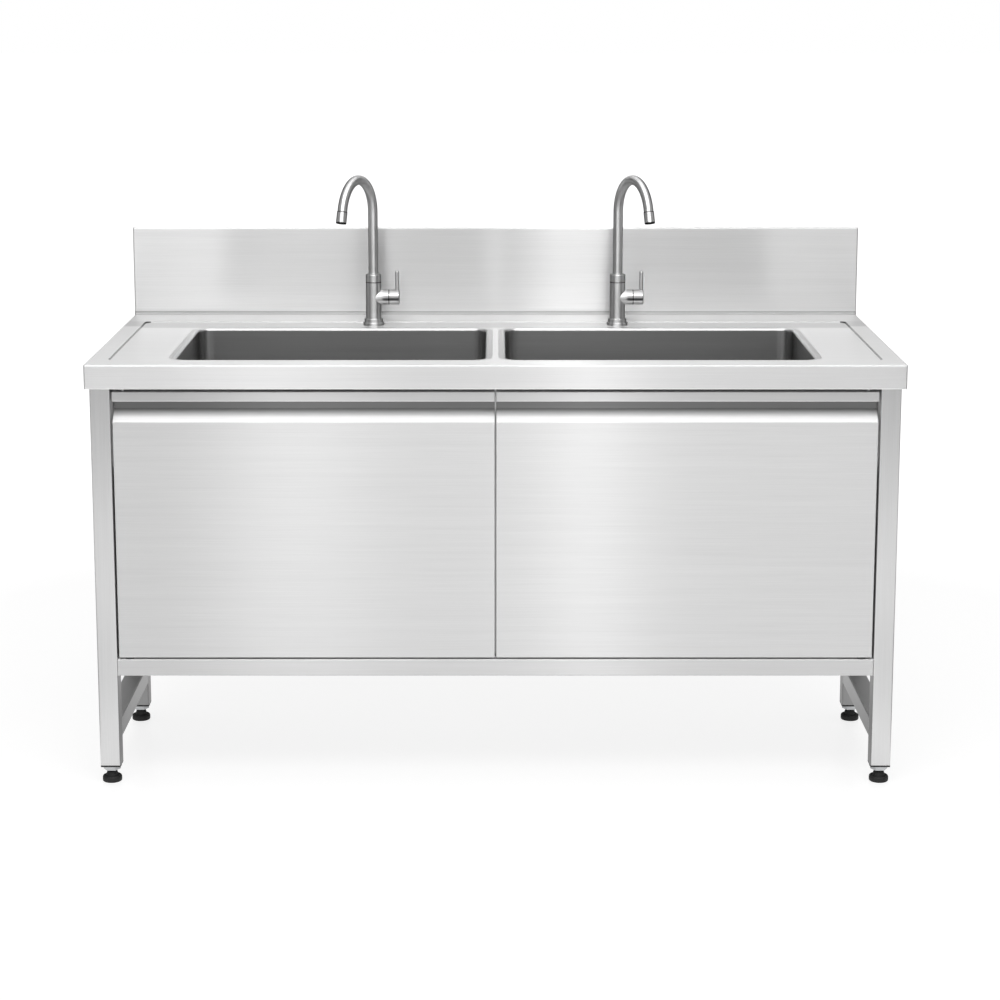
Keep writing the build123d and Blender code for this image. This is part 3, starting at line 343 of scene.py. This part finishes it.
def shaded_rear(tree, place):
    """How much painted shade darkens the flat top behind the bowls, against elsewhere."""
    flat = product(tree, below(tree, place[2], TOP + 0.0004), above(tree, place[2], FIELD - 0.0003))
    return product(tree, flat, eased(tree, place[1], BOWL_REAR - 0.010, BOWL_REAR + 0.010, 0.0, 1.0),
                   spread(tree, place[1], FIELD_REAR - 0.002, FIELD_REAR + 0.002, REAR_SHADE, LEDGE_SHADE))


def reflection_band(tree, place, middle, near, far, shine):
    """A band of painted reflection across the width, of full strength nearer to its middle than near, none beyond
    far.
    """
    return eased(tree, unsigned(tree, minus(tree, place[0], middle)), near, far, shine, 0.0)


def worktop_shades(tree, place, normal):
    """Painted highlights on the hem and crest, painted shade in the upstand's crease, along the sides of the field
    and on the top behind the bowls, and painted reflections in bands across the upstand and apron."""
    across = unsigned(tree, place[0])
    side_step = product(tree, below(tree, across, FIELD_SIDE + 0.012), above(tree, across, FIELD_SIDE - 0.012),
                        within(tree, place[2], (FIELD + TOP) / 2, 0.0022),
                        above(tree, unsigned(tree, normal[0]), 0.2))
    hem = below(tree, place[2], APRON_BOTTOM + 0.0014)
    crest = above(tree, place[2], UPSTAND_TOP - 0.001)
    crease = within(tree, place[2], TOP + 0.004, 0.0036)
    upstand = spread(tree, place[2], UPSTAND_FOOT, UPSTAND_FOOT + 0.007, 0.0, 1.0)
    # painted reflections: brighter bands across the upstand and the apron
    left = reflection_band(tree, place, -0.74, 0.05, 0.45, 0.20)
    middle = reflection_band(tree, place, 0.18, 0.03, 0.17, 0.22)
    painted_reflection = total(tree, left, middle, UPSTAND_REFLECTION_OFFSET)
    apron = below(tree, place[1], APRON_BACK)
    shade = total(tree, 1.0, product(tree, upstand, painted_reflection),
                  product(tree, apron, reflection_band(tree, place, -0.66, 0.05, 0.34, 0.14)),
                  product(tree, greatest(tree, hem, crest), HEM_AND_CREST_HIGHLIGHT))
    # painted shade in the crease, behind the bowls and along the sides of the field
    painted_shade = total(tree, product(tree, crease, CREASE_SHADE), shaded_rear(tree, place),
                 product(tree, side_step, STEP_SHADE))
    return minus(tree, shade, painted_shade)


def bowl_shades(tree, place, normal):
    """The flat flange as bright as the field round it, with painted shade behind the bowls, the rolled mouth a
    little brighter as a painted highlight, and a painted reflection strip down each side of the round corners,
    darker at their middle."""
    flange = FLANGE_LEVEL / BOWL_SHADED_LEVEL
    roll = spread(tree, place[2], FIELD - ROLL, FIELD - ROLL * 0.55, 1.0, flange * ROLL_HIGHLIGHT)
    flat = spread(tree, place[2], FIELD - 0.0006, FIELD - 0.0001, flange * ROLL_HIGHLIGHT, flange)
    mouth = minus(tree, maths(tree, "MINIMUM", roll, flat), product(tree, shaded_rear(tree, place), flange))
    # painted reflection: a bright strip down each side of the round corners, darker at their middle
    round_corner = unsigned(tree, product(tree, normal[0], normal[1]))
    corner_reflection = minus(tree, spread(tree, round_corner, 0.22, 0.40, 0.0, 0.65),
                     spread(tree, round_corner, 0.47, 0.50, 0.0, 0.60))
    wall = below(tree, place[2], FIELD - ROLL)
    return total(tree, mouth, product(tree, wall, corner_reflection))


# ---------------------------------------------------------------- doors and frame

DOOR_FRONT = -0.320
GRIP_BOTTOM, LIP_BOTTOM = 0.741, 0.782
GRIP_DEPTH = 0.025
# painted highlight at the grip's front edge, painted shade at its back, and painted light on the lip
GRIP_FRONT_HIGHLIGHT, GRIP_BACK_SHADE = 1.34, 0.36
LIP_PAINTED_LIGHT = 1.1

SHELF_BOTTOM = 0.225
LEG_SHADE = 0.46         # painted shade: brightness of the legs' shaded faces, against the others
# painted shade on the side rails' inner faces
RAIL_SHADE = 0.50


def door_shades(tree, place, normal):
    """Painted light and shade: the grip runs from a painted highlight at its front edge to painted shade at its
    back, and the lip above is a little brighter.
    """
    depth = minus(tree, place[1], DOOR_FRONT)
    grip = product(tree, within(tree, place[2], (GRIP_BOTTOM + LIP_BOTTOM) / 2, (LIP_BOTTOM - GRIP_BOTTOM) / 2),
                   above(tree, depth, 0.0006))
    # painted highlight at the grip's front edge, falling to painted shade at its back
    finish = spread(tree, depth, GRIP_DEPTH * 0.4, GRIP_DEPTH * 0.97, GRIP_FRONT_HIGHLIGHT, GRIP_BACK_SHADE)
    lip = spread(tree, place[2], LIP_BOTTOM, LIP_BOTTOM + 0.001, 1.0, LIP_PAINTED_LIGHT)
    return blend(tree, grip, lip, finish)


def inward(tree, place, normal):
    """1 on faces that look towards the middle of the unit."""
    return below(tree, product(tree, maths(tree, "SIGN", place[0]), normal[0]), -0.5)


def leg_shades(tree, place, normal):
    """Painted shade where the shelf shades the legs: their inner faces, and the fronts of the rear ones."""
    rear_front = product(tree, above(tree, place[1], 0.0), below(tree, normal[1], -0.5))
    painted_shade = product(tree, greatest(tree, inward(tree, place, normal), rear_front),
                   below(tree, place[2], SHELF_BOTTOM))
    return spread(tree, painted_shade, 0.0, 1.0, 1.0, LEG_SHADE)


def rail_shades(tree, place, normal):
    """Painted shade on the side rails' inner faces."""
    return spread(tree, inward(tree, place, normal), 0.0, 1.0, 1.0, RAIL_SHADE)


# ---------------------------------------------------------------- taps

TAP_PLACE = (0.2635, 0.200)     # of each tap's column: to the side, and back
COLUMN_TOP = 0.9506
COLUMN_REACH = 0.0205           # beyond it, to the right, lies the barrel
BARREL_HEIGHT = 0.917
BARREL_RADIUS = 0.0165
BARREL_END = 0.0340             # from the column's axis
SPOUT_BEND_START = 1.1006
SPOUT_BEND = 0.075
SPOUT_OUTWARD = math.radians(22.4)
SPOUT_TURN = math.radians(165.0)
SPOUT_FALL = 0.12               # the reach past which the spout comes down
AERATOR_START = 0.005           # below the end of the bend
AERATOR_LENGTH = 0.025
OUTLET_RIM = 0.0026             # the dark rim round the aerator's outlet
JOINT_SHADE = 0.08              # brightness inside the joint lines and the outlet
GRAZING_TINT = 0.06             # chrome darkens at its outlines


def tap_tube(tree, side, reach, rise):
    """The direction of the tube: upright in the column, and round the bend above it."""
    climb = greatest(tree, rise, 0.0)
    return add(tree, "ShaderNodeCombineXYZ", {0: product(tree, side, climb, math.sin(SPOUT_OUTWARD)),
                                              1: product(tree, climb, -math.cos(SPOUT_OUTWARD)),
                                              2: minus(tree, SPOUT_BEND, reach)}).outputs[0]


def tap_joints(tree, right, reach, rise, height):
    """1 on the joint lines over the aerator, at the column's top and at the barrel's end, and in the outlet."""
    sine, cosine = math.sin(SPOUT_TURN), math.cos(SPOUT_TURN)
    tip = (SPOUT_BEND * (1 - cosine) + AERATOR_START * sine, SPOUT_BEND * sine + AERATOR_START * cosine)
    past = total(tree, product(tree, minus(tree, reach, tip[0]), sine),
                 product(tree, minus(tree, rise, tip[1]), cosine))
    falling = above(tree, reach, SPOUT_FALL)
    over_aerator = product(tree, within(tree, past, 0.0005, 0.0008), falling)
    outlet = product(tree, above(tree, past, AERATOR_LENGTH - OUTLET_RIM), falling)
    at_column = product(tree, within(tree, height, COLUMN_TOP - 0.0006, 0.0007), below(tree, right, COLUMN_REACH))
    at_barrel = product(tree, within(tree, right, BARREL_END - 0.0006, 0.0008),
                        within(tree, height, BARREL_HEIGHT, BARREL_RADIUS))
    return greatest(tree, greatest(tree, over_aerator, outlet), greatest(tree, at_column, at_barrel))


def chromed(name, level, roughness, anisotropy):
    """Tap chrome, polished round each tube so that its highlights run along the tube, with dark joint lines."""
    material, tree, shader = blank(name)
    place = own_place(tree)
    x, y, z = apart(tree, place)
    side = maths(tree, "SIGN", x)
    ahead = minus(tree, TAP_PLACE[1], y)
    outside = minus(tree, unsigned(tree, x), TAP_PLACE[0])
    right = minus(tree, x, product(tree, side, TAP_PLACE[0]))
    reach = total(tree, product(tree, outside, math.sin(SPOUT_OUTWARD)),
                  product(tree, ahead, math.cos(SPOUT_OUTWARD)))
    rise = minus(tree, z, SPOUT_BEND_START)

    barrel = product(tree, within(tree, z, BARREL_HEIGHT, BARREL_RADIUS), above(tree, right, COLUMN_REACH))
    along = vector_blend(tree, barrel, tap_tube(tree, side, reach, rise), AXES["x"])
    along = vectors(tree, "NORMALIZE", along).outputs["Vector"]

    haze = noise(tree, place, HAZE_GRAIN, 3.0, 0.6)
    shade = product(tree, spread(tree, haze, 0.3, 0.7, 0.96, 1.03),
                    spread(tree, tap_joints(tree, right, reach, rise, z), 0.0, 1.0, 1.0, JOINT_SHADE))
    tree.links.new(tint(tree, grey(level), shade), shader.inputs["Base Color"])
    tree.links.new(spread(tree, haze, 0.3, 0.7, roughness * 0.92, roughness * 1.08), shader.inputs["Roughness"])
    bump = add(tree, "ShaderNodeBump", {"Strength": 0.2, "Distance": 0.000008,
                                        "Height": noise(tree, place, 900.0, 2.0, 0.5)})
    tree.links.new(bump.outputs[0], shader.inputs["Normal"])
    tree.links.new(in_world(tree, along), shader.inputs["Tangent"])
    shader.inputs["Metallic"].default_value = 1.0
    shader.inputs["Specular Tint"].default_value = grey(GRAZING_TINT)
    shader.inputs["Anisotropic"].default_value = anisotropy
    return material


# ---------------------------------------------------------------- painting

MATERIALS = {
    "worktop_steel": brushed("worktop_steel", "x", 0.70, 0.36, 1.0, shades=worktop_shades),
    "bowl_steel": brushed("bowl_steel", "x", BOWL_SHADED_LEVEL, 0.31, 0.8, shades=bowl_shades),
    "frame_steel": brushed("frame_steel", "z", 0.74, 0.34, 0.8, second="x", shades=leg_shades),
    "rail_steel": brushed("rail_steel", "y", 0.60, 0.36, 0.8, second="x", shades=rail_shades),
    # painted shade: the front rail shows only in the gaps round the doors and is painted dark
    "gap_shade_steel": brushed("gap_shade_steel", "x", 0.30, 0.45, 0.5),
    "panel_steel": brushed("panel_steel", "x", 0.68, 0.36, 1.0),
    "side_steel": brushed("side_steel", "y", 0.68, 0.36, 1.0, second="x", streak=0.02),
    "door_steel": brushed("door_steel", "x", 0.72, 0.36, 1.0, shades=door_shades),
    "pin_steel": turned("pin_steel", 0.60, 0.25),
    "magnet": turned("magnet", 0.34, 0.35),
    "black_rubber": moulded("black_rubber", grey(0.012), 0.62),
    # painted shade: the hinge bushes are dark grey so that they read as shade in the doors' gaps
    "nylon": moulded("nylon", grey(0.10), 0.45),
    "cartridge_plastic": moulded("cartridge_plastic", grey(0.45, 0.02), 0.45),
    "washer_steel": turned("washer_steel", 0.60, 0.30),
    "brass": turned("brass", 0.52, 0.30, 0.32),
    "drain_steel": turned("drain_steel", 0.66, 0.20),
    "white_plastic": moulded("white_plastic", grey(0.74), 0.38),
    "black_plastic": moulded("black_plastic", grey(0.015), 0.40),
    "spindle_thread": threaded("spindle_thread", 0.56, 0.32, -0.02),
    "zinc_steel": turned("zinc_steel", 0.56, 0.32, -0.02),
    "tap_chrome": chromed("tap_chrome", 0.80, 0.31, 1.0),
}

# Parts whose finish differs from that of their slot: other brush lines, painted shade, or a thread.
OTHER_FINISH = {
    "lower_side_rails": "rail_steel", "side_top_rails": "rail_steel",
    "front_top_rail": "gap_shade_steel", "rear_top_rail": "panel_steel",
    "side_panel_left": "side_steel", "side_panel_right": "side_steel",
    **{f"foot_{corner}_spindle": "spindle_thread" for corner in CORNERS},
}


def paint():
    """Each part of the model gets its finish."""
    for name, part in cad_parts.items():
        for slot in part.material_slots:
            slot.material = MATERIALS[OTHER_FINISH.get(name) or slot.material.name.split(".")[0]]


paint()


# ---------------------------------------------------------------- foot pads

FOOT_PAD = (             # radius and height of the pad's outline, from its sole to the neck round the spindle
    (0.0, 0.0), (0.0180, 0.0), (0.0192, 0.0012), (0.0195, 0.0030), (0.0195, 0.0080), (0.0190, 0.0102),
    (0.0178, 0.0116), (0.0164, 0.0118), (0.0152, 0.0110), (0.0142, 0.0098), (0.0132, 0.0098), (0.0126, 0.0112),
    (0.0118, 0.0150), (0.0108, 0.0186), (0.0096, 0.0208), (0.0082, 0.0218), (0.0062, 0.0220), (0.0, 0.0220),
)
PAD_STEPS = 56


def lathed(name, outline, centre):
    """A round piece, spun from its outline about the upright line through centre."""
    work = bmesh.new()
    points = [work.verts.new((centre[0] + radius, centre[1], centre[2] + height)) for radius, height in outline]
    edges = [work.edges.new(pair) for pair in zip(points, points[1:])]
    bmesh.ops.spin(work, geom=points + edges, cent=centre, axis=(0, 0, 1), angle=math.tau, steps=PAD_STEPS,
                   use_merge=True)
    bmesh.ops.remove_doubles(work, verts=work.verts[:], dist=1e-6)
    bmesh.ops.recalc_face_normals(work, faces=work.faces[:])
    for face in work.faces:
        face.smooth = True
    mesh = bpy.data.meshes.new(name)
    work.to_mesh(mesh)
    work.free()
    made = bpy.data.objects.new(name, mesh)
    SCENE.collection.objects.link(made)
    return made


def make_foot_pads():
    """Rubber pads with a rounded rim, a groove and a neck, for each levelling foot."""
    for corner in CORNERS:
        node = f"foot_{corner}_pad"
        low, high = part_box(node)
        centre = ((low[0] + high[0]) / 2, (low[1] + high[1]) / 2, low[2])
        pad = lathed(f"foot_{corner}_rubber", FOOT_PAD, centre)
        pad.data.materials.append(MATERIALS["black_rubber"])
        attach(pad, f"{corner}_foot")
        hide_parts(node)


make_foot_pads()


# ---------------------------------------------------------------- studio

FLOOR_REACH = 40.0
FLOOR_COLOUR = 0.25
FLOOR_LIGHT = 0.79      # share of the floor's white that is its own glow, for the eye and for reflections
# painted light and shadow in the floor's glow as the steel mirrors it: dimmer beyond the lamps, under the unit and
# before the side flags
FAR_FLOOR = 0.25        # brightness that the steel mirrors of the floor beyond the lamps' reach
SHADED_FLOOR = 0.45     # of the floor under the unit
FLAGGED_FLOOR = 0.12    # and of the floor before the side flags, left and right of the unit

FRONT_LIGHT = 0.74      # the white walls before the unit
HORIZON_LIGHT = 0.34    # low down, beyond the lit floor
BACK_LIGHT = 0.36       # beside and behind the unit
FLAG_LIGHT = 0.05       # the black flags at both rear corners and both sides, that draw the taps' dark outlines
REAR_FLAG = (16, 26, 66, 80)        # degrees from straight back, between which it darkens and ends
SIDE_FLAG = (96, 104, 124, 134)
SIDE_FLAG_SHARE = 0.85              # how much of the light the side flags take


def staged(name, corners, material):
    """A flat sheet of the studio, made of one face."""
    mesh = bpy.data.meshes.new(name)
    mesh.from_pydata(corners, [], [tuple(range(len(corners)))])
    sheet = bpy.data.objects.new(name, mesh)
    SCENE.collection.objects.link(sheet)
    sheet.data.materials.append(material)
    return sheet


def make_floor():
    """A white floor that keeps a faint shadow of the unit."""
    material, tree, shader = blank("floor")
    place = own_place(tree)
    shader.inputs["Roughness"].default_value = 0.35
    shader.inputs["Specular IOR Level"].default_value = 0.25
    tree.links.new(tint(tree, grey(FLOOR_COLOUR), spread(tree, noise(tree, place, 3.0), 0.3, 0.7, 0.995, 1.005)),
                   shader.inputs["Base Color"])

    x, y, _ = apart(tree, place)
    aside = unsigned(tree, x)
    distance = vectors(tree, "LENGTH", place).outputs["Value"]
    # painted shadow in the floor's mirrored glow, under the unit and before the side flags
    under = product(tree, spread(tree, aside, 0.55, 0.90, 1.0, 0.0),
                    spread(tree, unsigned(tree, total(tree, y, 0.10)), 0.20, 0.50, 1.0, 0.0))
    flagged = product(tree, spread(tree, aside, 0.95, 1.15, 0.0, 1.0), spread(tree, y, -1.6, -1.1, 0.0, 1.0),
                      spread(tree, y, 0.0, 0.2, 1.0, 0.0))
    mirrored = product(tree, spread(tree, distance, 2.2, 4.8, 1.0, FAR_FLOOR),
                       spread(tree, under, 0.0, 1.0, 1.0, SHADED_FLOOR),
                       spread(tree, flagged, 0.0, 1.0, 1.0, FLAGGED_FLOOR))

    path = add(tree, "ShaderNodeLightPath").outputs
    seen = greatest(tree, path["Is Camera Ray"],
                    product(tree, mirrored, greatest(tree, path["Is Glossy Ray"], path["Is Transmission Ray"])))
    shader.inputs["Emission Color"].default_value = (1, 1, 1, 1)
    glow = spread(tree, distance, 1.7, 3.2, FLOOR_LIGHT, 1.0)
    tree.links.new(product(tree, seen, glow), shader.inputs["Emission Strength"])
    corners = [(-FLOOR_REACH, -FLOOR_REACH, 0.0), (FLOOR_REACH, -FLOOR_REACH, 0.0),
               (FLOOR_REACH, FLOOR_REACH, 0.0), (-FLOOR_REACH, FLOOR_REACH, 0.0)]
    staged("floor", corners, material)


def between(tree, turn, degrees):
    """1 between the two middle angles, falling to 0 at the outer ones."""
    start, full, last, end = (math.radians(angle) for angle in degrees)
    return product(tree, spread(tree, turn, start, full, 0.0, 1.0), spread(tree, turn, last, end, 1.0, 0.0))


def make_world():
    """White for the eye; for everything else a bright front, a dimmer back, and dark flags at the rear corners
    and at the sides."""
    world = bpy.data.worlds.new("studio")
    SCENE.world = world
    world.use_nodes = True
    tree = world.node_tree
    tree.nodes.clear()
    x, y, height = apart(tree, add(tree, "ShaderNodeTexCoord").outputs["Generated"])
    turn = maths(tree, "ARCTAN2", unsigned(tree, x), y)
    front = spread(tree, height, 0.05, 0.35, HORIZON_LIGHT, FRONT_LIGHT)
    back = spread(tree, height, 0.60, 0.85, BACK_LIGHT, FRONT_LIGHT)
    walls = blend(tree, spread(tree, turn, math.radians(85), math.radians(115), 0.0, 1.0), back, front)
    rear = product(tree, between(tree, turn, REAR_FLAG), spread(tree, height, 0.55, 0.75, 1.0, 0.0))
    beside = product(tree, between(tree, turn, SIDE_FLAG), spread(tree, height, 0.70, 0.85, SIDE_FLAG_SHARE, 0.0))
    soft = blend(tree, greatest(tree, rear, beside), walls, FLAG_LIGHT)
    strength = blend(tree, add(tree, "ShaderNodeLightPath").outputs["Is Camera Ray"], soft, 1.0)
    light = add(tree, "ShaderNodeBackground", {"Color": (1, 1, 1, 1), "Strength": strength})
    add(tree, "ShaderNodeOutputWorld", {"Surface": light.outputs[0]})


def softbox(name, centre, aim, width, height, strength):
    """A soft studio lamp, facing aim."""
    lamp = bpy.data.lights.new(name, "AREA")
    lamp.shape = "RECTANGLE"
    lamp.size, lamp.size_y = width, height
    lamp.energy = strength * width * height * math.pi
    made = bpy.data.objects.new(name, lamp)
    SCENE.collection.objects.link(made)
    made.location = centre
    made.rotation_euler = (Vector(aim) - Vector(centre)).to_track_quat("-Z", "Y").to_euler()
    made.visible_camera = False


def black_flag(name, x, width, y, low, high):
    """An upright black board that takes light away from one band of the fronts."""
    material, _, shader = blank(name)
    shader.inputs["Base Color"].default_value = grey(0.02)
    shader.inputs["Roughness"].default_value = 0.9
    left, right = x - width / 2, x + width / 2
    board = staged(name, [(left, y, low), (right, y, low), (right, y, high), (left, y, high)], material)
    board.visible_camera = False
    board.visible_shadow = False


# Name, centre, the point it faces, width, height and strength. The strips draw the bright bands on the steel.
LAMPS = (
    ("overhead", (0.0, -0.5, 3.4), (0.0, -0.3, 0.9), 3.6, 1.6, 0.5),
    ("key", (0.0, -2.1, 3.1), (0.0, -0.3, 0.7), 3.6, 1.2, 3.7),
    ("side_strip_right", (2.8, -0.35, 2.1), (0.0, 0.0, 0.85), 0.18, 1.8, 1.5),
    ("side_strip_left", (-2.8, -0.35, 2.1), (0.0, 0.0, 0.85), 0.18, 1.8, 0.8),
    ("strip_right", (0.29, -3.0, 1.5), (0.29, 0.0, 1.5), 0.12, 3.0, 2.3),
    ("strip_left", (-0.62, -3.0, 1.5), (-0.62, 0.0, 1.5), 0.34, 3.0, 0.7),
    ("roof_strip_right", (0.22, 0.6, 3.3), (0.22, 0.6, 0.0), 0.12, 3.4, 2.0),
    ("roof_strip_left", (-0.52, 0.6, 3.3), (-0.52, 0.6, 0.0), 0.30, 3.4, 0.4),
)

make_floor()
make_world()
for lamp in LAMPS:
    softbox(*lamp)
black_flag("flag_left", x=-1.06, width=0.20, y=-3.0, low=0.05, high=1.8)


# ---------------------------------------------------------------- camera

EYE = (0.0, -4.912, 1.6216)
PITCH = 10.319          # degrees down
LENS = 85.86
SENSOR = 36.0
SHIFT = (0.0045, -0.10)
SIGHT = 200.0


def make_camera():
    """The eye of the photograph, before the middle of the unit and looking a little down."""
    lens = bpy.data.cameras.new("camera")
    lens.sensor_width = SENSOR
    lens.lens = LENS
    lens.shift_x, lens.shift_y = SHIFT
    lens.clip_end = SIGHT
    eye = bpy.data.objects.new("camera", lens)
    SCENE.collection.objects.link(eye)
    eye.location = EYE
    eye.rotation_euler = (math.radians(90.0 - PITCH), 0.0, 0.0)
    SCENE.camera = eye


make_camera()
SCENE.view_settings.view_transform = "Standard"
